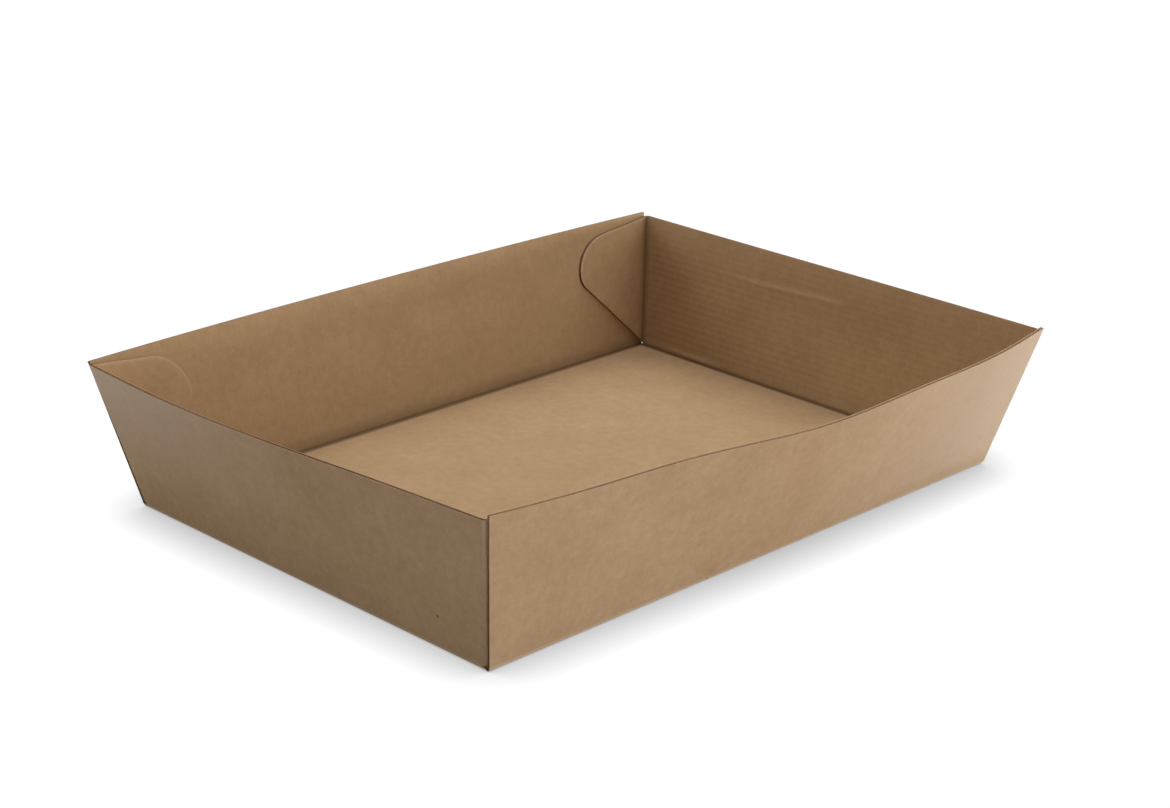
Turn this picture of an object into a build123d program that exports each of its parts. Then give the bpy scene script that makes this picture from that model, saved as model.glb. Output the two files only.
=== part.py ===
from build123d import *
import os
from math import atan2, cos, hypot, pi, sin, sqrt, tan

# Folded tray, in millimetres. X runs along it, Y across it and Z up, and the floor rests on z = 0.
# It is one die-cut sheet: a floor, two long side walls (front, back) and two end walls (left, right).
# Each end wall has a tab at both ends, which turns the corner and is glued inside a side wall.

board = 1.5            # thickness of the sheet
floor_length = 330.0   # between the outsides of the end walls, at the ground
floor_width = 229.0    # between the outsides of the side walls, at the ground
side_height = 72.5     # side walls, measured up their slope
end_height = 70.5      # end walls, measured up their slope

# rims that run slightly askew: how much higher a wall stands at one of its ends
askew = {("back", "left"): -1.0, ("back", "right"): -0.5, ("left", "back"): 1.3}

# how far each top corner stands out past the floor's corner: along X, across Y
splay = {
    ("front", "left"): (9.2, 7.5),
    ("front", "right"): (16.5, 17.5),
    ("back", "left"): (18.5, 13.8),
    ("back", "right"): (12.0, 11.5),
}

# outward bow of each wall's rim: the height of its first, second, third... half wave
bow = {
    "front": (12.5, -2.0, 0, 0, 1.0),
    "back": (10.0, 0.3),
    "left": (4.1, -1.0),
    "right": (0.4, 0.4),
}

floor_crease = 0.2     # inside radius of the folds under the walls, if the walls stood upright
corner_crease = 0.7    # inside radius of the fold between an end wall and its tab
slit_foot = 0.7        # gap between a side wall's cut end and the corner, at the floor
slit_rim = 1.5         # the same gap at the rim
corner_opening = 2.2   # height of the small opening left under each turned corner

tab_length = 48.0      # reach of a tab from the corner
tab_drop = 6.7         # fall of its upper edge over that reach
tab_heel = 42.5        # height where its outer end meets the slanting lower edge
tab_foot = 2.2         # height where that lower edge meets the corner
nose_radius = 17.0     # rounding of the tab's upper outer corner
heel_radius = 12.0     # rounding of its lower outer corner
glue_bite = 0.1        # the tab sinks this far into the side wall it is glued to

fold_run = board + floor_crease
corner_radius = board + corner_crease

size = {"front": floor_length, "back": floor_length, "left": floor_width, "right": floor_width}
reach = {"front": floor_width / 2, "back": floor_width / 2,
         "left": floor_length / 2, "right": floor_length / 2}
ends = {"front": ("left", "right"), "back": ("left", "right"),
        "left": ("front", "back"), "right": ("front", "back")}

# cross-sections along a wall: close together behind the tabs, then wider apart
tab_share = (tab_length + 4 * board) / floor_length
tab_stations = [tab_share * i / 5 for i in range(6)]
half_stations = tab_stations + [tab_share + (0.5 - tab_share) * i / 5 for i in range(1, 6)]
stations = half_stations + [1 - u for u in reversed(half_stations[:-1])]


def place(wall, along, out, z):
    """Point at a place along a wall, a distance out from the tray's middle and a height."""
    sign = 1 if wall in ("back", "right") else -1
    if wall in ("front", "back"):
        return Vector(along, sign * out, z)
    return Vector(sign * out, along, z)


def corner(wall, end):
    """Splay of the corner at one end of a wall: outward first, then along the wall."""
    if wall in ("front", "back"):
        x, y = splay[wall, end]
        return y, x
    return splay[end, wall]


def height(wall, u):
    """Height of a wall up its slope, at the fraction u of its length."""
    first, last = (askew.get((wall, end), 0) for end in ends[wall])
    plain = side_height if wall in ("front", "back") else end_height
    return plain + first + (last - first) * u


def lean(wall, u):
    """How far out and how far up the outer face's rim is, at the fraction u along a wall."""
    first, last = (corner(wall, end)[0] for end in ends[wall])
    waves = sum(a * sin(i * pi * u) for i, a in enumerate(bow[wall], 1))
    out = first + (last - first) * u + waves
    return out, sqrt(height(wall, u) ** 2 - out ** 2)


def end_lean(wall, end):
    return lean(wall, ends[wall].index(end))


def slope(wall, end):
    """Outward travel for each millimetre of rise, at one end of a wall."""
    out, rise = end_lean(wall, end)
    return out / rise


def level_thickness(wall, end):
    """The leaning sheet's thickness measured level, at one end of a wall."""
    return board * hypot(1, slope(wall, end))


def span(wall):
    """Where a wall starts and stops, along its fold and along its rim."""
    foot, rim = [], []
    for sign, end in zip((-1, 1), ends[wall]):
        if wall in ("front", "back"):
            foot.append(sign * (size[wall] / 2 - slit_foot))
            rim.append(sign * (size[wall] / 2 + corner(wall, end)[1] - slit_rim))
        else:
            inset = corner_radius + level_thickness(end, wall) - glue_bite
            run_on = slope(end, wall) * end_lean(wall, end)[1]
            foot.append(sign * (size[wall] / 2 - inset))
            rim.append(sign * (size[wall] / 2 + run_on - inset))
    return foot, rim


def ruling(wall, u):
    """Foot and rim of the line that climbs a wall at the fraction u of its length."""
    return [first + (last - first) * u for first, last in span(wall)]


def section(wall, u):
    """Outline of a wall and the fold under it, cut along one of its rulings."""
    foot, rim = ruling(wall, u)
    out, rise = lean(wall, u)
    outward, upward = out / hypot(out, rise), rise / hypot(out, rise)
    radius = fold_run / tan(atan2(rise, out) / 2)
    inner = radius - board
    centre_depth = hypot(fold_run, radius)

    def at(o, z):
        return place(wall, foot + (rim - foot) * z / rise, reach[wall] + o, z)

    def mid_fold(r):
        return at(-fold_run + r * fold_run / centre_depth, radius - r * radius / centre_depth)

    floor_under, floor_top = at(-fold_run, 0), at(-fold_run, board)
    outer_foot = at(fold_run * outward, fold_run * upward)
    inner_foot = at(-fold_run + inner * upward, radius - inner * outward)
    outer_rim = at(out, rise)
    inner_rim = at(out - board * upward, rise + board * outward)
    return Wire([
        Edge.make_three_point_arc(floor_under, mid_fold(radius), outer_foot),
        Edge.make_line(outer_foot, outer_rim),
        Edge.make_line(outer_rim, inner_rim),
        Edge.make_line(inner_rim, inner_foot),
        Edge.make_three_point_arc(inner_foot, mid_fold(inner), floor_top),
        Edge.make_line(floor_top, floor_under),
    ])


def folded_wall(wall):
    return Solid.make_loft([section(wall, u) for u in stations])


def turned_corner(side, end):
    """The rounded fold between an end wall and its tab, from its small opening to the rim."""
    x_slope, y_slope = slope(end, side), slope(side, end)
    end_thickness, tab_thickness = level_thickness(end, side), level_thickness(side, end)
    rise = end_lean(end, side)[1]
    radius = corner_radius
    inner = radius - (end_thickness + tab_thickness) / 2
    x_sign = 1 if end == "right" else -1
    y_sign = 1 if side == "back" else -1

    def ring(on_rim):
        def at(a, b):
            z = corner_opening
            if on_rim:
                z = rise + (x_slope * a + y_slope * b) / (1 + x_slope ** 2 + y_slope ** 2)
            x = floor_length / 2 + x_slope * z - a
            y = floor_width / 2 + y_slope * z - tab_thickness + glue_bite - b
            return Vector(x_sign * x, y_sign * y, z)

        def mid_fold(r):
            return at(radius - r * sqrt(0.5), radius - r * sqrt(0.5))

        return Wire([
            Edge.make_three_point_arc(at(0, radius), mid_fold(radius), at(radius, 0)),
            Edge.make_line(at(radius, 0), at(radius, tab_thickness)),
            Edge.make_three_point_arc(at(radius, tab_thickness), mid_fold(inner),
                                      at(end_thickness, radius)),
            Edge.make_line(at(end_thickness, radius), at(0, radius)),
        ])

    return Solid.make_loft([ring(False), ring(True)], ruled=True)


def tab_strip(side, end):
    """Board that follows the inside of a side wall, longer than the tab that is cut from it."""
    top = end_height + board
    x_sign = 1 if end == "right" else -1
    wires = []
    for share in tab_stations:
        u = 1 - share if end == "right" else share
        out, rise = lean(side, u)
        foot, rim = ruling(side, u)
        if share == 0:
            foot = x_sign * (floor_length / 2 - corner_radius)
            rim = foot + x_sign * slope(end, side) * rise
        thickness = board * hypot(1, out / rise)
        glued = thickness - glue_bite

        def at(depth, z):
            return place(side, foot + (rim - foot) * z / rise, reach[side] + out / rise * z - depth, z)

        wires.append(Wire.make_polygon([
            at(glued, corner_opening), at(glued, top),
            at(glued + thickness, top), at(glued + thickness, corner_opening),
        ]))
    return Solid.make_loft(wires)


def tab_punch(side, end):
    """Prism through the side wall in the outline of a tab."""
    rise = end_lean(end, side)[1]
    x_sign = 1 if end == "right" else -1

    def at(from_corner, z):
        return x_sign * (floor_length / 2 + slope(end, side) * z - from_corner), z

    start = at(0, rise + board / 3)
    nose = at(tab_length, rise - tab_drop)
    heel = at(tab_length, tab_heel)
    outline = make_face(Polyline([start, nose, heel, at(0, tab_foot)], close=True))
    # both roundings must fit on the edge between nose and heel
    room = nose[1] - heel[1]
    for spot, radius in ((nose, min(nose_radius, 0.91 * room)), (heel, min(heel_radius, 0.64 * room))):
        outline = fillet(outline.vertices().sort_by_distance((*spot, 0))[0], radius)
    return extrude(Plane.XZ * outline, amount=floor_width, both=True)


floor = Box(floor_length - 2 * fold_run, floor_width - 2 * fold_run, board,
            align=(Align.CENTER, Align.CENTER, Align.MIN))
tray = floor
for wall in ends:
    tray += folded_wall(wall)
for side, end in splay:
    tray += turned_corner(side, end) + (tab_strip(side, end) & tab_punch(side, end))

# the origin is on the ground under the middle of the bounding box
box = tray.bounding_box()
tray = Pos(-box.center().X, -box.center().Y, 0) * tray

os.makedirs("parts", exist_ok=True)
export_step(tray, "parts/tray.step")
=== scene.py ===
from math import asin, atan2, ceil, cos, hypot, pi, radians, sin, sqrt, tan

import bmesh
import bpy
from mathutils import Matrix, Vector
from mathutils.geometry import intersect_point_line


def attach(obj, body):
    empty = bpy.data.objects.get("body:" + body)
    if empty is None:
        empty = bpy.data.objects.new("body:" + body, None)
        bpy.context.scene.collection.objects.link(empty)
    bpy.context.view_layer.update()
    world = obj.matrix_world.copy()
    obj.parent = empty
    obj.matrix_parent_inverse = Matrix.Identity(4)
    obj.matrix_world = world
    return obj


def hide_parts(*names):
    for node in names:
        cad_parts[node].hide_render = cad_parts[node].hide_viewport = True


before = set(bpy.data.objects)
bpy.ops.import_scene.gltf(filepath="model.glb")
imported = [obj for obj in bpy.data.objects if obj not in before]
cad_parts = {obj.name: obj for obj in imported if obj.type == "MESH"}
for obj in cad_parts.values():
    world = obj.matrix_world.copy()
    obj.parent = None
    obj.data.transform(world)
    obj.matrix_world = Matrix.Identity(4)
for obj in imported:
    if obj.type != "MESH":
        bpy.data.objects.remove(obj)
bpy.context.view_layer.update()
mm = 0.001

# The tray is one folded sheet: a floor, two long side walls (front, back) and two end walls (left, right),
# whose tabs turn the corners and lie inside the side walls. Lengths are in millimetres.
sheet = {
    "board": 1.5,
    "length": 330.0,
    "width": 229.0,
    "sideHeight": 72.5,
    "endHeight": 70.5,
    "middle": (1.728, 1.984),      # where the middle of the floor lies
    "splay": {("front", "left"): (9.2, 7.5), ("front", "right"): (16.5, 17.5),
              ("back", "left"): (18.5, 13.8), ("back", "right"): (12.0, 11.5)},
    "bow": {"front": (12.5, -2.0, 0, 0, 1.0), "back": (10.0, 0.3),
            "left": (4.1, -1.0), "right": (0.4, 0.4)},
    "askew": {("back", "left"): -1.0, ("back", "right"): -0.5, ("left", "back"): 1.3},
    "foldRun": 1.7,
    "cornerRadius": 2.2,
    "slitFoot": 0.5,
    "slitRim": 1.5,
    "cornerOpening": 1.85,
    "tabGap": 0.04,                # glue line between a tab and the wall behind it
}
tabShape = {"length": 48.0, "drop": 6.7, "heel": 42.5, "foot": 1.85, "noseRadius": 17.0, "heelRadius": 12.0}
flutes = {"rib": 0.035, "ribByWall": {"right": 0.03, "left": 0.025}}
# how finely the sheet is divided: columns across the flutes, four to a flute, and rows along them
cuts = {"floorColumns": 388, "floorRows": 20, "sideRows": 12, "endColumns": 18, "endRows": 80,
        "turnColumns": 6, "tabColumns": 32}

floorHalfX = sheet["length"] / 2 - sheet["foldRun"]
floorHalfY = sheet["width"] / 2 - sheet["foldRun"]
columnStep = 2 * floorHalfX / cuts["floorColumns"]
evenColumns = cuts["endColumns"] - 2
endShares = [0] + [0.012 + 0.976 * i / evenColumns for i in range(evenColumns + 1)] + [1]     # narrow first and last
flutePitch = 4 * columnStep
ends = {"front": ("left", "right"), "back": ("left", "right"),
        "left": ("front", "back"), "right": ("front", "back")}


def isSide(wall):
    return wall in ("front", "back")


def reach(wall):
    return (sheet["width"] if isSide(wall) else sheet["length"]) / 2


def height(wall, u):
    first, last = (sheet["askew"].get((wall, end), 0) for end in ends[wall])
    return sheet["sideHeight" if isSide(wall) else "endHeight"] + first + (last - first) * u


def corner(wall, end):
    # splay of a corner, outward from the wall first
    if isSide(wall):
        x, y = sheet["splay"][wall, end]
        return y, x
    return sheet["splay"][end, wall]


def lean(wall, u):
    # how far out and how far up the rim is at the fraction u along a wall
    first, last = (corner(wall, end)[0] for end in ends[wall])
    waves = sum(a * sin(i * pi * u) for i, a in enumerate(sheet["bow"][wall], 1))
    out = first + (last - first) * u + waves
    return out, sqrt(height(wall, u) ** 2 - out ** 2)


def slope(wall, end):
    out, rise = lean(wall, ends[wall].index(end))
    return out / rise


def levelBoard(wall, end):
    return sheet["board"] * hypot(1, slope(wall, end))


def span(wall):
    # where a wall starts and stops, along its fold and along its rim
    foot, rim = [], []
    for sign, end in zip((-1, 1), ends[wall]):
        if isSide(wall):
            foot.append(sign * (sheet["length"] / 2 - sheet["slitFoot"]))
            rim.append(sign * (sheet["length"] / 2 + corner(wall, end)[1] - sheet["slitRim"]))
        else:
            inset = sheet["cornerRadius"] + levelBoard(end, wall) + sheet["tabGap"]
            runOn = slope(end, wall) * lean(wall, ends[wall].index(end))[1]
            foot.append(sign * (sheet["width"] / 2 - inset))
            rim.append(sign * (sheet["width"] / 2 + runOn - inset))
    return foot, rim


def place(wall, along, out, z):
    sign = 1 if wall in ("back", "right") else -1
    if isSide(wall):
        return Vector((along, sign * out, z))
    return Vector((sign * out, along, z))


def fractionAt(wall, along, z):
    # the fraction along a wall of the point that lies at this place and height
    foot, rim = span(wall)
    u = 0.5
    for turn in range(3):
        share = z / lean(wall, u)[1]
        start = foot[0] + (rim[0] - foot[0]) * share
        stop = foot[1] + (rim[1] - foot[1]) * share
        u = (along - start) / (stop - start)
    return u


def profile(wall, u, climb):
    # outward travel and height on the outer face: climb runs from -1 to 0 round the fold, then up the slope
    out, rise = lean(wall, u)
    if climb > 0:
        step = sheet["foldRun"] + climb
        return out / height(wall, u) * step, rise / height(wall, u) * step
    turn = atan2(rise, out)
    radius = sheet["foldRun"] / tan(turn / 2)
    angle = (climb + 1) * turn
    return radius * sin(angle) - sheet["foldRun"], radius * (1 - cos(angle))


def patch(columns, rows, pointAt, about):
    # a grid of the sheet: each vertex keeps its place on the flat sheet (across the flutes, along them), how
    # strongly it is ribbed, and how strongly it is creased, which paints shade into the inner folds and a highlight
    # onto the outer folds; a further layer holds a painted highlight, set later
    grid = bmesh.new()
    flat = grid.verts.layers.float_vector.new("flatPlace")
    rib = grid.verts.layers.float.new("rib")
    crease = grid.verts.layers.float.new("crease")
    grid.verts.layers.float.new("paintedHighlight")
    made = bmesh.ops.create_grid(grid, x_segments=columns, y_segments=rows, size=0.5)
    for vert in made["verts"]:
        column = round((vert.co.x + 0.5) * columns)
        row = round((vert.co.y + 0.5) * rows)
        vert.co = pointAt(column, row)
        vert[flat], vert[rib], vert[crease] = about(column, row, vert.co)
    return grid


def trim(grid, start, stop, across, kept):
    # cuts a patch along the line from start to stop, square to it, and drops the side away from the point kept
    normal = (stop - start).cross(across).normalized()
    if normal.dot(kept - start) > 0:
        normal.negate()
    parts = grid.verts[:] + grid.edges[:] + grid.faces[:]
    bmesh.ops.bisect_plane(grid, geom=parts, dist=0.002, plane_co=start, plane_no=normal, clear_outer=True)


def addTo(whole, grid):
    carrier = bpy.data.meshes.new("carrier")
    grid.to_mesh(carrier)
    whole.from_mesh(carrier)
    bpy.data.meshes.remove(carrier)
    grid.free()


foldSteps = [-1, -0.75, -0.5, -0.25, 0]         # climbs of the rows round a fold
foldRows = len(foldSteps) - 1


def nearFold(climb):
    return max(0.0, 1 - max(climb, 0) / 1.5)


def ribFade(climb):
    return min(1.0, max(0.0, (climb - 1.0) / 5))


def sidePatch(wall):
    extra = ceil(19 / columnStep)      # beyond the widest splay, trimmed off below
    columns = cuts["floorColumns"] + 2 * extra
    halfCount = columns / 2

    def climbAt(row, u):
        if row <= foldRows:
            return foldSteps[row]
        start = 0.8
        return start + (height(wall, u) - sheet["foldRun"] - start) * (row - foldRows - 1) / cuts["sideRows"]

    def pointAt(column, row):
        along = (column - halfCount) * columnStep
        u, z = 0.5, 0
        for turn in range(3):
            z = profile(wall, u, climbAt(row, u))[1]
            u = fractionAt(wall, along, z)
        out, z = profile(wall, u, climbAt(row, u))
        return place(wall, along, reach(wall) + out, z)

    def about(column, row, point):
        climb = climbAt(row, 0.5)
        sign = 1 if wall == "back" else -1
        flat = Vector((point.x, sign * (floorHalfY + 2 * sheet["foldRun"] + climb), 0))
        return flat, ribFade(climb), nearFold(climb)

    grid = patch(columns, foldRows + 1 + cuts["sideRows"], pointAt, about)
    foot, rim = span(wall)
    for i in range(2):
        out, rise = lean(wall, i)
        bottom = place(wall, foot[i], reach(wall), 0)
        top = place(wall, rim[i], reach(wall) + out, rise)
        trim(grid, bottom, top, (top - bottom).cross(Vector((1, 0, 0))), place(wall, 0, reach(wall), 0))
    return grid


def endFoot(wall, row):
    # rows of the floor: the corners first and last, and between them the ends of the end wall's columns
    foot = span(wall)[0]
    if row == 0:
        return -floorHalfY
    if row == cuts["floorRows"]:
        return floorHalfY
    return foot[0] + (foot[1] - foot[0]) * endShares[row - 1]


def floorPatch():
    def pointAt(column, row):
        x = (column - cuts["floorColumns"] / 2) * columnStep
        share = x / floorHalfX / 2 + 0.5
        y = endFoot("left", row) * (1 - share) + endFoot("right", row) * share
        return Vector((x, y, 0))

    def about(column, row, point):
        edge = min(floorHalfX - abs(point.x), floorHalfY - abs(point.y))
        return Vector((point.x, point.y, 0)), min(1.0, max(0.0, (edge - 1.5) / 4)) * 0.6, nearFold(edge)

    return patch(cuts["floorColumns"], cuts["floorRows"], pointAt, about)


def openingClimb(wall, end):
    u = ends[wall].index(end)
    return sheet["cornerOpening"] * height(wall, u) / lean(wall, u)[1] - sheet["foldRun"]


def endClimb(wall, u, row):
    # four rows round the fold, one up to the corners' openings, then even rows to the rim
    if row <= foldRows:
        return foldSteps[row]
    low = sum(share * openingClimb(wall, end) for share, end in zip((1 - u, u), ends[wall]))
    return low + (height(wall, u) - sheet["foldRun"] - low) * (row - foldRows - 1) / cuts["endRows"]


def endPatch(wall):
    foot, rim = span(wall)
    sign = 1 if wall == "right" else -1

    def pointAt(column, row):
        u = endShares[column]
        out, z = profile(wall, u, endClimb(wall, u, row))
        along = (rim[0] - foot[0]) * (1 - u) + (rim[1] - foot[1]) * u
        along = foot[0] + (foot[1] - foot[0]) * u + along * z / lean(wall, u)[1]
        return place(wall, along, reach(wall) + out, z)

    def about(column, row, point):
        climb = endClimb(wall, endShares[column], row)
        flat = Vector((sign * (floorHalfX + 2 * sheet["foldRun"] + climb), point.y, 0))
        # the end wall's corner columns get some painted shade down the inside corner
        atCorner = 0.41 if column in (0, cuts["endColumns"]) else 0
        return flat, ribFade(climb), max(nearFold(climb), atCorner)

    return patch(cuts["endColumns"], foldRows + 1 + cuts["endRows"], pointAt, about)


def foldEnd(wall, end):
    # the end of an end wall's fold, which runs on under the turned corner to the corner of the floor
    u = ends[wall].index(end)
    sign = (-1, 1)[u]
    foot, rim = span(wall)


    def pointAt(column, row):
        out, z = profile(wall, u, foldSteps[row])
        near = foot[u] + (rim[u] - foot[u]) * z / lean(wall, u)[1]
        return place(wall, near + (sign * floorHalfY - near) * column, reach(wall) + out, z)

    def about(column, row, point):
        return Vector((point.x, point.y, 0)), 0.0, 1.0

    return patch(1, foldRows, pointAt, about)


def tabOutline(rise):
    # the tab's edge from its foot on the corner, round the heel and the nose, to the rim,
    # as distance from the corner and height
    length, foot = tabShape["length"], tabShape["foot"]
    under = (tabShape["heel"] - foot) / length
    over = tabShape["drop"] / length
    heel, nose = tabShape["heelRadius"], tabShape["noseRadius"]
    heelX, heelZ = length - heel, foot + under * (length - heel) + heel * hypot(1, under)
    noseX, noseZ = length - nose, rise - over * (length - nose) - nose * hypot(1, over)
    meet = 0
    if heelZ > noseZ:
        # the two roundings run straight into one another
        gap = (noseZ - foot - under * noseX) / hypot(1, under)
        meet = atan2(under, 1) + asin((heel - gap) / (nose - heel))
        heelX, heelZ = noseX + (nose - heel) * cos(meet), noseZ + (nose - heel) * sin(meet)
    first, last = atan2(under, 1) - pi / 2, pi / 2 - atan2(over, 1)
    points = [(0, foot)]
    for i in range(8):
        angle = first + (meet - first) * i / 8
        points.append((heelX + heel * cos(angle), heelZ + heel * sin(angle)))
    for i in range(12):
        angle = meet + (last - meet) * i / 11
        points.append((noseX + nose * cos(angle), noseZ + nose * sin(angle)))
    return points + [(0, rise)]


def tabPatch(end, side):
    # a turned corner and the tab beyond it, cut to its outline
    xSign = 1 if end == "right" else -1
    ySign = 1 if side == "back" else -1
    xSlope, ySlope = slope(end, side), slope(side, end)
    rise = lean(end, ends[end].index(side))[1]
    radius = sheet["cornerRadius"]
    turns, tabColumns = cuts["turnColumns"], cuts["tabColumns"]
    reaches = [radius + (tabShape["length"] + 0.5 - radius) * i / tabColumns for i in range(tabColumns + 1)]

    def surface(distance, z):
        # the tab's outer face lies against the side wall behind it
        x = xSign * (sheet["length"] / 2 + xSlope * z - distance)
        u = fractionAt(side, x, z)
        out, sideRise = lean(side, u)
        thickness = sheet["board"] * hypot(1, out / sideRise)
        return x, sheet["width"] / 2 + out / sideRise * z - thickness - sheet["tabGap"]

    def atCorner(z):
        return sheet["width"] / 2 + ySlope * z - levelBoard(side, end) - sheet["tabGap"]

    def heightOf(row):
        return sheet["cornerOpening"] + (rise - sheet["cornerOpening"]) * row / cuts["endRows"]

    def pointAt(column, row):
        z = heightOf(row)
        if column >= turns:
            x, y = surface(reaches[column - turns], z)
            if column == turns:
                y = atCorner(z)
            return Vector((x, ySign * y, z))
        angle = pi / 2 * column / turns
        x = sheet["length"] / 2 + xSlope * z - radius + radius * cos(angle)
        y = atCorner(z) - radius + radius * sin(angle)
        return Vector((xSign * x, ySign * y, z))

    def about(column, row, point):
        z = heightOf(row)
        climb = z * height(end, ends[end].index(side)) / rise - sheet["foldRun"]
        if column < turns:
            run = radius * pi / 2 * column / turns
        else:
            run = reaches[column - turns] + radius * (pi / 2 - 1)
        wallEnd = span(end)[0][ends[end].index(side)] + ySign * ySlope * z
        flat = Vector((xSign * (floorHalfX + 2 * sheet["foldRun"] + climb), wallEnd + ySign * run, 0))
        # the turned corner is creased most in its bend: painted shade on its inner face, a painted highlight on its
        # outer face
        bend = max(0.0, 1 - abs(run - radius * pi * 0.3) / (radius * 1.6))
        ribbed = ribFade(climb) * (1 - bend) * 0.5 if column else ribFade(climb)
        return flat, ribbed, bend

    grid = patch(turns + tabColumns, cuts["endRows"], pointAt, about)
    outline = []
    for distance, z in tabOutline(rise):
        outline.append(Vector((xSign * (sheet["length"] / 2 + xSlope * z - distance), 0, z)))
    inside = Vector((xSign * (sheet["length"] / 2 - 20), 0, 45))
    for start, stop in zip(outline, outline[1:]):
        trim(grid, start, stop, Vector((0, 1, 0)), inside)

    # a painted highlight along the nose's upper edge, where its rounded edge catches the light
    paintedHighlight = grid.verts.layers.float["paintedHighlight"]
    noseEdge = list(zip(outline[4:-1], outline[5:]))
    for vert in grid.verts:
        spot = Vector((vert.co.x, 0, vert.co.z))
        nearest = min((spot - intersect_point_line(spot, start, stop)[0]).length for start, stop in noseEdge)
        vert[paintedHighlight] = max(0.0, 1 - nearest / 1.7) * min(1.0, max(0.0, (vert.co.z - 38) / 12))
    return grid


print("folding the sheet")
whole = bmesh.new()
addTo(whole, floorPatch())
for wall in ("front", "back"):
    addTo(whole, sidePatch(wall))
for wall in ("left", "right"):
    addTo(whole, endPatch(wall))
for cornerPatch in (tabPatch, foldEnd):
    for end in ("left", "right"):
        for side in ("front", "back"):
            addTo(whole, cornerPatch(end, side))
bmesh.ops.remove_doubles(whole, verts=whole.verts[:], dist=0.02)
bmesh.ops.recalc_face_normals(whole, faces=whole.faces[:])

# small shapes of the board itself, as heights out of its outer face: flute ribs,
# a crease in the right wall and a wrinkle at its fold
marks = {
    "crease": {"across": 219.5, "skew": -0.046, "from": -14.0, "to": 58.0, "width": 0.8, "height": -0.34},
    "wrinkle": {"across": 168.6, "skew": 0.0, "from": 60.0, "to": 96.0, "width": 1.0, "height": -0.34},
}


def markAmount(mark, place):
    middle, half = (mark["from"] + mark["to"]) / 2, (mark["to"] - mark["from"]) / 2
    along = max(0.0, 1 - ((place.y - middle) / half) ** 2)
    across = (place.x - mark["across"] - mark["skew"] * place.y) / mark["width"]
    return min(1.0, 2 * along) * 2.718 ** -(across ** 2)


def ribHeight(place):
    if place.x > floorHalfX + 2:
        height = flutes["ribByWall"]["right"]
    elif place.x < -floorHalfX - 2:
        height = flutes["ribByWall"]["left"]
    else:
        height = flutes["rib"]
    return height * cos(2 * pi * place.x / flutePitch)


print("pressing ribs and creases")
flat = whole.verts.layers.float_vector["flatPlace"]
rib = whole.verts.layers.float["rib"]
paintedHighlight = whole.verts.layers.float["paintedHighlight"]
whole.normal_update()
moves = []
for vert in whole.verts:
    spot = vert[flat]
    lift = vert[rib] * ribHeight(spot)
    for mark in marks.values():
        amount = markAmount(mark, spot)
        lift += mark["height"] * amount
        # the crease and the wrinkle get a painted highlight along them too
        vert[paintedHighlight] = max(vert[paintedHighlight], amount)
    moves.append((vert, vert.normal * lift))
for vert, move in moves:
    vert.co += move


def toFrame(mesh):
    middle = Vector((*sheet["middle"], 0))
    for vert in mesh.vertices:
        vert.co = (vert.co + middle) * mm


def thickened(name, grid, thickness):
    # gives an open sheet its thickness, inward from its outer face
    mesh = bpy.data.meshes.new(name + "Sheet")
    grid.to_mesh(mesh)
    grid.free()
    toFrame(mesh)
    piece = bpy.data.objects.new(name, mesh)
    bpy.context.scene.collection.objects.link(piece)
    wall = piece.modifiers.new("wall", "SOLIDIFY")
    wall.thickness = thickness * mm
    wall.offset = -1
    wall.use_even_offset = True
    wall.use_quality_normals = True
    wall.material_offset = 1
    wall.material_offset_rim = 2
    for i in range(3):
        mesh.materials.append(None)
    shape = bpy.data.meshes.new_from_object(piece.evaluated_get(bpy.context.evaluated_depsgraph_get()))
    bpy.data.objects.remove(piece)
    solid = bmesh.new()
    solid.from_mesh(shape)
    bpy.data.meshes.remove(shape)
    return solid


print("giving the board its thickness")
solid = thickened("trayBoard", whole, sheet["board"])
cutEdge = [face for face in solid.faces if face.material_index == 2]
# the two liners show as thin borders round the cut edge, and the flutes' gap is sunk between them and painted dark,
# painted shade of the flute voids
edgeSettings = {"liner": 0.34, "step": 0.01, "depth": 0.45}
bmesh.ops.inset_region(solid, faces=cutEdge, thickness=edgeSettings["liner"] * mm, use_even_offset=True)
for face in cutEdge:
    face.material_index = 3
bmesh.ops.inset_region(solid, faces=cutEdge, thickness=edgeSettings["step"] * mm,
                       depth=-edgeSettings["depth"] * mm, use_even_offset=True)


fluteSettings = {"paper": 0.16, "top": 0.12, "bottom": 1.15, "stepsPerFlute": 8, "endWallSteps": 60,
                 "swing": {"front": 0.37, "back": 0.37, "left": 0.33, "right": 0.33}}


def fluteStrip(wall):
    # the fluted paper between the two liners, standing in the cut edge of a rim: it waves along the side walls,
    # and lies nearly straight along the end walls, which are cut along the flutes
    rim = span(wall)[1]
    swing = fluteSettings["swing"][wall]
    steps = fluteSettings["endWallSteps"]
    if isSide(wall):
        steps = round((rim[1] - rim[0]) / flutePitch * fluteSettings["stepsPerFlute"])
    strip = bmesh.new()
    made = bmesh.ops.create_grid(strip, x_segments=steps, y_segments=1, size=0.5)
    for vert in made["verts"]:
        share = vert.co.x + 0.5
        down = fluteSettings["top" if vert.co.y > 0 else "bottom"]
        along = rim[0] + 0.5 + (rim[1] - rim[0] - 1.0) * share
        out, rise = lean(wall, share)
        turn = along / flutePitch if isSide(wall) else share * 1.3
        depth = sheet["board"] / 2 + swing * cos(2 * pi * turn)
        tall = height(wall, share)
        step = tall - down
        o, z = (out * step - rise * depth) / tall, (rise * step + out * depth) / tall
        vert.co = place(wall, along, reach(wall) + o, z)
    return strip


print("standing the flutes in the rims")
for wall in ("front", "back", "left", "right"):
    strip = thickened(wall + "Flutes", fluteStrip(wall), fluteSettings["paper"])
    for face in strip.faces:
        face.material_index = 4
    addTo(solid, strip)

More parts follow.
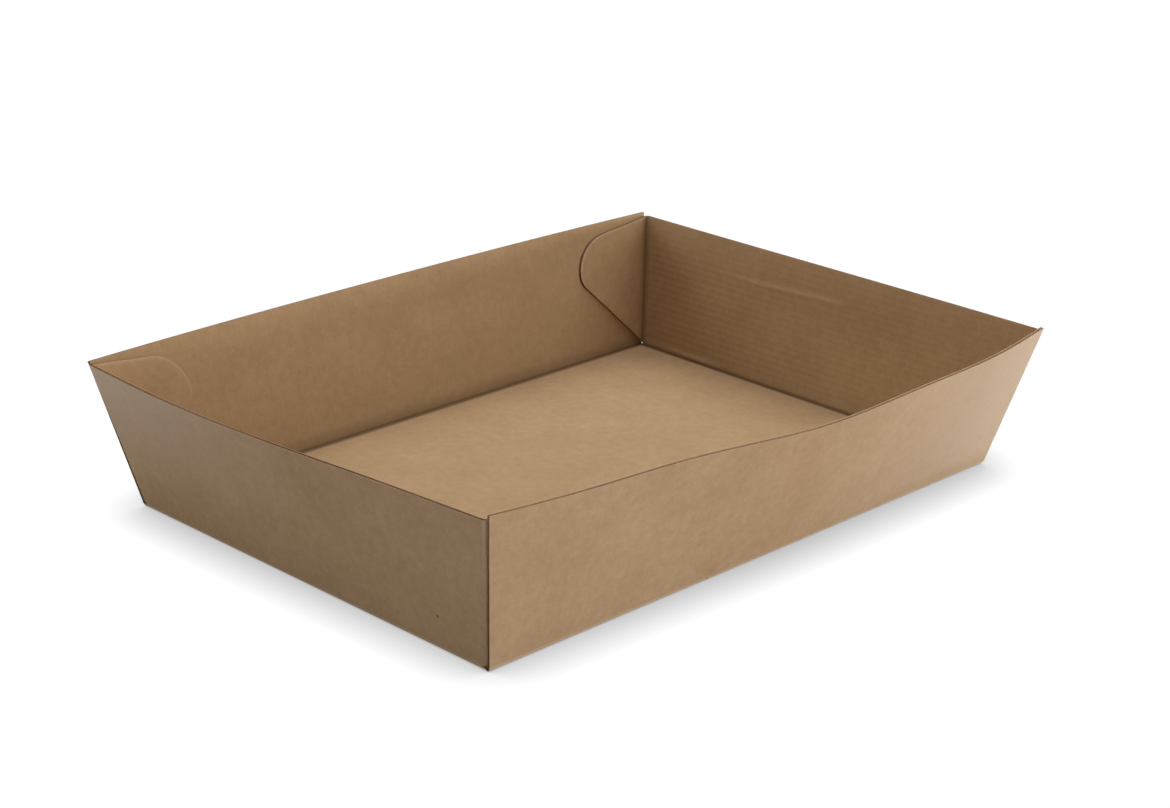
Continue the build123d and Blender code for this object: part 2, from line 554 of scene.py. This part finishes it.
boardMesh = bpy.data.meshes.new("trayBoard")
solid.to_mesh(boardMesh)
solid.free()
board = bpy.data.objects.new("trayBoard", boardMesh)
bpy.context.scene.collection.objects.link(board)
boardMesh.shade_smooth()
boardMesh.set_sharp_from_angle(angle=radians(38))


def node(tree, kind, **values):
    made = tree.nodes.new(kind)
    for key, value in values.items():
        if key in made.inputs:
            made.inputs[key].default_value = value
        else:
            setattr(made, key, value)
    return made


def ramp(tree, source, low, high, atLow=0.0, atHigh=1.0):
    made = node(tree, "ShaderNodeMapRange", clamp=True)
    made.inputs["From Min"].default_value = low
    made.inputs["From Max"].default_value = high
    made.inputs["To Min"].default_value = atLow
    made.inputs["To Max"].default_value = atHigh
    tree.links.new(source, made.inputs["Value"])
    return made.outputs["Result"]


def mixColor(tree, factor, first, second, blend="MIX"):
    made = tree.nodes.new("ShaderNodeMix")
    made.data_type = "RGBA"
    made.blend_type = blend
    for socket, value in ((made.inputs[0], factor), (made.inputs[6], first), (made.inputs[7], second)):
        if isinstance(value, bpy.types.NodeSocket):
            tree.links.new(value, socket)
        else:
            socket.default_value = value
    return made.outputs[2]


def math(tree, operation, *values):
    made = tree.nodes.new("ShaderNodeMath")
    made.operation = operation
    for socket, value in zip(made.inputs, values):
        if isinstance(value, bpy.types.NodeSocket):
            tree.links.new(value, socket)
        else:
            socket.default_value = value
    return made.outputs[0]


def kraftGroup():
    # brown paper pulp: clouds, mottle and short fibres, from the flat place on the sheet in millimetres
    group = bpy.data.node_groups.new("kraftFibre", "ShaderNodeTree")
    for name, kind in (("Place", "NodeSocketVector"), ("Pale", "NodeSocketColor"), ("Dark", "NodeSocketColor"),
                       ("Mottle", "NodeSocketFloat"), ("Fibre", "NodeSocketFloat")):
        group.interface.new_socket(name=name, in_out="INPUT", socket_type=kind)
    group.interface.new_socket(name="Color", in_out="OUTPUT", socket_type="NodeSocketColor")
    group.interface.new_socket(name="Height", in_out="OUTPUT", socket_type="NodeSocketFloat")
    group.interface.new_socket(name="Roughness", in_out="OUTPUT", socket_type="NodeSocketFloat")
    given, result = group.nodes.new("NodeGroupInput"), group.nodes.new("NodeGroupOutput")

    def noise(scale, detail, stretch=None, turn=0.0):
        placed = given.outputs["Place"]
        if stretch:
            mapping = node(group, "ShaderNodeMapping")
            mapping.inputs["Rotation"].default_value = (0, 0, radians(turn))
            mapping.inputs["Scale"].default_value = stretch
            group.links.new(placed, mapping.inputs["Vector"])
            placed = mapping.outputs["Vector"]
        made = node(group, "ShaderNodeTexNoise", Scale=scale, Detail=detail, Roughness=0.6)
        group.links.new(placed, made.inputs["Vector"])
        return made.outputs["Fac"]

    clouds = noise(0.035, 3)
    patches = noise(0.22, 3)
    grain = noise(0.9, 4)
    darkFibres = ramp(group, noise(1.0, 2, (0.9, 3.4, 1), 24), 0.60, 0.72)
    darkFibres = math(group, "MAXIMUM", darkFibres, ramp(group, noise(1.0, 2, (0.8, 3.6, 1), -38), 0.61, 0.73))
    paleFibres = ramp(group, noise(1.0, 2, (0.7, 3.8, 1), -12), 0.60, 0.74)
    shade = math(group, "ADD", math(group, "MULTIPLY", clouds, 0.30), math(group, "MULTIPLY", patches, 0.34))
    shade = math(group, "ADD", shade, math(group, "MULTIPLY", grain, 0.36))
    shade = math(group, "MULTIPLY", math(group, "SUBTRACT", shade, 0.5), given.outputs["Mottle"])
    shade = math(group, "ADD", shade, 0.5)
    shade = math(group, "SUBTRACT", shade, math(group, "MULTIPLY", darkFibres, given.outputs["Fibre"]))
    palePart = math(group, "MULTIPLY", math(group, "MULTIPLY", paleFibres, given.outputs["Fibre"]), 0.7)
    shade = math(group, "ADD", shade, palePart)
    made = group.nodes.new("ShaderNodeClamp")
    group.links.new(shade, made.inputs["Value"])
    color = mixColor(group, made.outputs[0], given.outputs["Dark"], given.outputs["Pale"])
    group.links.new(color, result.inputs["Color"])
    rise = math(group, "ADD", math(group, "MULTIPLY", grain, 0.7), math(group, "MULTIPLY", paleFibres, 0.5))
    rise = math(group, "SUBTRACT", rise, math(group, "MULTIPLY", darkFibres, 0.4))
    group.links.new(rise, result.inputs["Height"])
    group.links.new(ramp(group, grain, 0.3, 0.7, 0.8, 0.95), result.inputs["Roughness"])
    return group


kraft = kraftGroup()
paper = {
    "outerLiner": {"pale": (0.56, 0.38, 0.224), "dark": (0.34, 0.207, 0.103), "mottle": 1.7, "fibre": 0.16,
                   # the outer folds get a pale painted highlight
                   "crease": (0.68, 0.50, 0.34), "creaseAmount": 0.5, "creaseFrom": 0.6,
                   # a pale painted sheen over parts of the outside
                   "paintedSheen": (0.60, 0.47, 0.36), "speck": (0.07, 0.045, 0.025)},
    "innerLiner": {"pale": (0.54, 0.36, 0.202), "dark": (0.36, 0.227, 0.112), "mottle": 2.0, "fibre": 0.14,
                   # the inner folds get a dark painted shade
                   "crease": (0.13, 0.075, 0.035), "creaseAmount": 0.85, "creaseFrom": 0.0,
                   # a pale painted highlight along the tab noses, the crease and the wrinkle
                   "paintedHighlight": (0.70, 0.51, 0.33)},
    "cutEdge": {"pale": (0.44, 0.29, 0.17), "dark": (0.25, 0.15, 0.08), "mottle": 2.4, "fibre": 0.3,
                # the cut edge and the flute gap are painted paler along the front rim, lightening the gap's painted
                # shade
                "frontRimPale": (0.46, 0.31, 0.18)},
    # the flute gap is painted dark, painted shade of the flute voids
    "fluteGapShade": {"pale": (0.32, 0.20, 0.11), "dark": (0.18, 0.10, 0.05), "mottle": 1.5, "fibre": 0.2,
                 "frontRimPale": (0.46, 0.31, 0.18)},
    "flutedPaper": {"pale": (0.42, 0.27, 0.15), "dark": (0.24, 0.14, 0.07), "mottle": 1.5, "fibre": 0.2},
}
# dark flecks in the outer paper: place and size in millimetres
specks = [((-165.8, -85.2, 16.1), 1.1), ((-34.1, -112.6, 0.9), 1.2)]


def paintedSheenMask(tree, place):
    # painted sheen and light: the outside is painted paler at the right end of the front wall and in the upper back
    # corner of the left wall
    parts = node(tree, "ShaderNodeSeparateXYZ")
    tree.links.new(place.outputs["Vector"], parts.inputs[0])
    x, y = parts.outputs["X"], parts.outputs["Y"]
    front = math(tree, "MULTIPLY", ramp(tree, x, 10, 180, 0, 0.62), ramp(tree, y, -112, -125))
    left = math(tree, "MULTIPLY", ramp(tree, y, -20, 140, 0, 0.9), ramp(tree, x, -180, -236))
    return math(tree, "ADD", front, left)


def paperMaterial(name):
    finish = paper[name]
    material = bpy.data.materials.new(name)
    material.use_nodes = True
    tree = material.node_tree
    shader = tree.nodes["Principled BSDF"]
    shader.inputs["Specular IOR Level"].default_value = 0.3
    place = node(tree, "ShaderNodeAttribute", attribute_name="flatPlace")
    pulp = node(tree, "ShaderNodeGroup", node_tree=kraft)
    tree.links.new(place.outputs["Vector"], pulp.inputs["Place"])
    pulp.inputs["Pale"].default_value = (*finish["pale"], 1)
    pulp.inputs["Dark"].default_value = (*finish["dark"], 1)
    pulp.inputs["Mottle"].default_value = finish["mottle"]
    pulp.inputs["Fibre"].default_value = finish["fibre"]
    color = pulp.outputs["Color"]
    # the folds are painted: dark painted shade in the inner folds, a pale painted highlight along the rounded outer
    # folds
    if "crease" in finish:
        crease = node(tree, "ShaderNodeAttribute", attribute_name="crease")
        foldShadingMask = ramp(tree, crease.outputs["Fac"], finish["creaseFrom"], 1.0)
        amount = math(tree, "MULTIPLY", foldShadingMask, finish["creaseAmount"])
        color = mixColor(tree, amount, color, (*finish["crease"], 1))
    # a pale painted highlight along the tab noses, the crease and the wrinkle
    if "paintedHighlight" in finish:
        paintedHighlight = node(tree, "ShaderNodeAttribute", attribute_name="paintedHighlight")
        color = mixColor(tree, math(tree, "MULTIPLY", paintedHighlight.outputs["Fac"], 0.45), color, (*finish["paintedHighlight"], 1))
    if "frontRimPale" in finish:
        # the cut edge and the flute gap are painted paler along the front rim, so the painted shade in the gap is
        # lighter there
        parts = node(tree, "ShaderNodeSeparateXYZ")
        tree.links.new(place.outputs["Vector"], parts.inputs[0])
        color = mixColor(tree, ramp(tree, parts.outputs["Y"], -150, -180, 0, 0.75), color, (*finish["frontRimPale"], 1))
    # paler patches of painted sheen and light on the outside
    if "paintedSheen" in finish:
        color = mixColor(tree, paintedSheenMask(tree, place), color, (*finish["paintedSheen"], 1))
        where = tree.nodes.new("ShaderNodeTexCoord").outputs["Object"]
        for spot, size in specks:
            gap = tree.nodes.new("ShaderNodeVectorMath")
            gap.operation = "DISTANCE"
            tree.links.new(where, gap.inputs[0])
            gap.inputs[1].default_value = Vector(spot) * mm
            dark = ramp(tree, gap.outputs["Value"], 0.3 * size * mm, size * mm, 0.75, 0)
            color = mixColor(tree, dark, color, (*finish["speck"], 1))
    tree.links.new(color, shader.inputs["Base Color"])
    tree.links.new(pulp.outputs["Roughness"], shader.inputs["Roughness"])
    bump = node(tree, "ShaderNodeBump", Strength=0.6, Distance=0.00006)
    tree.links.new(pulp.outputs["Height"], bump.inputs["Height"])
    tree.links.new(bump.outputs["Normal"], shader.inputs["Normal"])
    return material


print("finishing the paper")
for name in paper:
    boardMesh.materials.append(paperMaterial(name))

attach(board, "root")
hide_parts("tray")

print("setting the stage")
room = {
    "world": 0.02,
    "shadeReach": 0.03,            # how far the soft shade round the tray reaches
    "shade": (0.2, 0.89, 0.45, 1.02),
    "floorBounce": (0.35, 0.35, 0.35, 1),
    "lights": {
        "top": {"at": (0.0, 0.0, 1.5), "towards": (0, 0, 0.03), "size": (0.5, 0.5), "power": 6.7},
        "topBehind": {"at": (0.45, 0.4, 1.25), "towards": (0, 0, 0.03), "size": (0.8, 0.8), "power": 4.2},
        "farBehind": {"at": (0.8, 0.6, 1.1), "towards": (0, 0, 0.03), "size": (0.8, 0.8), "power": 10.6},
        "frontCard": {"at": (0.5, -1.6, 0.45), "towards": (0, 0, 0.03), "size": (0.5, 0.5), "power": 10.7},
        "leftCard": {"at": (-1.0, 1.0, 0.6), "towards": (0, 0, 0.03), "size": (0.6, 0.6), "power": 5.3},
        "rightStrip": {"at": (0.95, -0.95, 0.07), "towards": (0.1, -0.12, 0.05), "size": (0.8, 0.12), "power": 7.2},
        "frontStrip": {"at": (-0.1, -1.3, 0.07), "towards": (-0.1, -0.12, 0.05), "size": (1.0, 0.12), "power": 2.1},
        "leftStrip": {"at": (-1.3, -0.2, 0.07), "towards": (-0.18, 0, 0.05), "size": (0.8, 0.12), "power": 2.8},
        "backStrip": {"at": (0.3, 1.4, 0.07), "towards": (0, 0.13, 0.05), "size": (1.0, 0.12), "power": 5.0},
        "endStrip": {"at": (1.5, 0.4, 0.07), "towards": (0.18, 0, 0.05), "size": (0.8, 0.12), "power": 4.5},
    },
}
ground = bmesh.new()
bmesh.ops.create_grid(ground, x_segments=1, y_segments=1, size=5)
groundMesh = bpy.data.meshes.new("floor")
ground.to_mesh(groundMesh)
ground.free()
floorPiece = bpy.data.objects.new("floor", groundMesh)
floorPiece.location.z = -0.0002
bpy.context.scene.collection.objects.link(floorPiece)
# the floor shows pale with soft shadows, and throws little light back on the tray
paint = bpy.data.materials.new("paleFloor")
paint.use_nodes = True
tree = paint.node_tree
tree.nodes.clear()
near = node(tree, "ShaderNodeAmbientOcclusion", samples=32, Distance=room["shadeReach"])
shade = ramp(tree, near.outputs["AO"], *room["shade"])
seen = node(tree, "ShaderNodeEmission")
bounce = node(tree, "ShaderNodeBsdfDiffuse", Color=room["floorBounce"])
chosen = node(tree, "ShaderNodeMixShader")
rays = node(tree, "ShaderNodeLightPath")
output = node(tree, "ShaderNodeOutputMaterial")
tree.links.new(shade, seen.inputs["Strength"])
tree.links.new(rays.outputs["Is Camera Ray"], chosen.inputs["Fac"])
tree.links.new(bounce.outputs[0], chosen.inputs[1])
tree.links.new(seen.outputs[0], chosen.inputs[2])
tree.links.new(chosen.outputs[0], output.inputs["Surface"])
groundMesh.materials.append(paint)

world = bpy.data.worlds.new("studio")
bpy.context.scene.world = world
world.use_nodes = True
sky = world.node_tree.nodes["Background"]
sky.inputs["Color"].default_value = (1, 1, 1, 1)
# beyond the floor's edge the room shows pale, but it lights the tray only a little
rays = node(world.node_tree, "ShaderNodeLightPath")
strength = ramp(world.node_tree, rays.outputs["Is Camera Ray"], 0, 1, room["world"], 1.0)
world.node_tree.links.new(strength, sky.inputs["Strength"])
for name, lamp in room["lights"].items():
    data = bpy.data.lights.new(name, "AREA")
    data.shape = "RECTANGLE"
    data.size, data.size_y = lamp["size"]
    data.energy = lamp["power"]
    light = bpy.data.objects.new(name, data)
    light.location = lamp["at"]
    light.rotation_mode = "QUATERNION"
    light.rotation_quaternion = (Vector(lamp["towards"]) - Vector(lamp["at"])).to_track_quat("-Z", "Y")
    bpy.context.scene.collection.objects.link(light)

lens = {"at": (-777.665, -755.727, 451.0), "towards": (80.135, 73.473, 0.0), "roll": 1.459, "focal": 76.92}
cameraData = bpy.data.cameras.new("camera")
cameraData.sensor_width = 36
cameraData.lens = lens["focal"]
camera = bpy.data.objects.new("camera", cameraData)
forward = (Vector(lens["towards"]) - Vector(lens["at"])).normalized()
right = forward.cross(Vector((0, 0, 1))).normalized()
up = right.cross(forward)
right = right * cos(radians(lens["roll"])) + up * sin(radians(lens["roll"]))
up = right.cross(forward)
turn = Matrix((right, up, -forward)).transposed().to_4x4()
camera.matrix_world = Matrix.Translation(Vector(lens["at"]) * mm) @ turn
cameraData.clip_start, cameraData.clip_end = 0.05, 20
bpy.context.scene.collection.objects.link(camera)
bpy.context.scene.camera = camera
bpy.context.scene.view_settings.view_transform = "Standard"

bpy.context.view_layer.update()
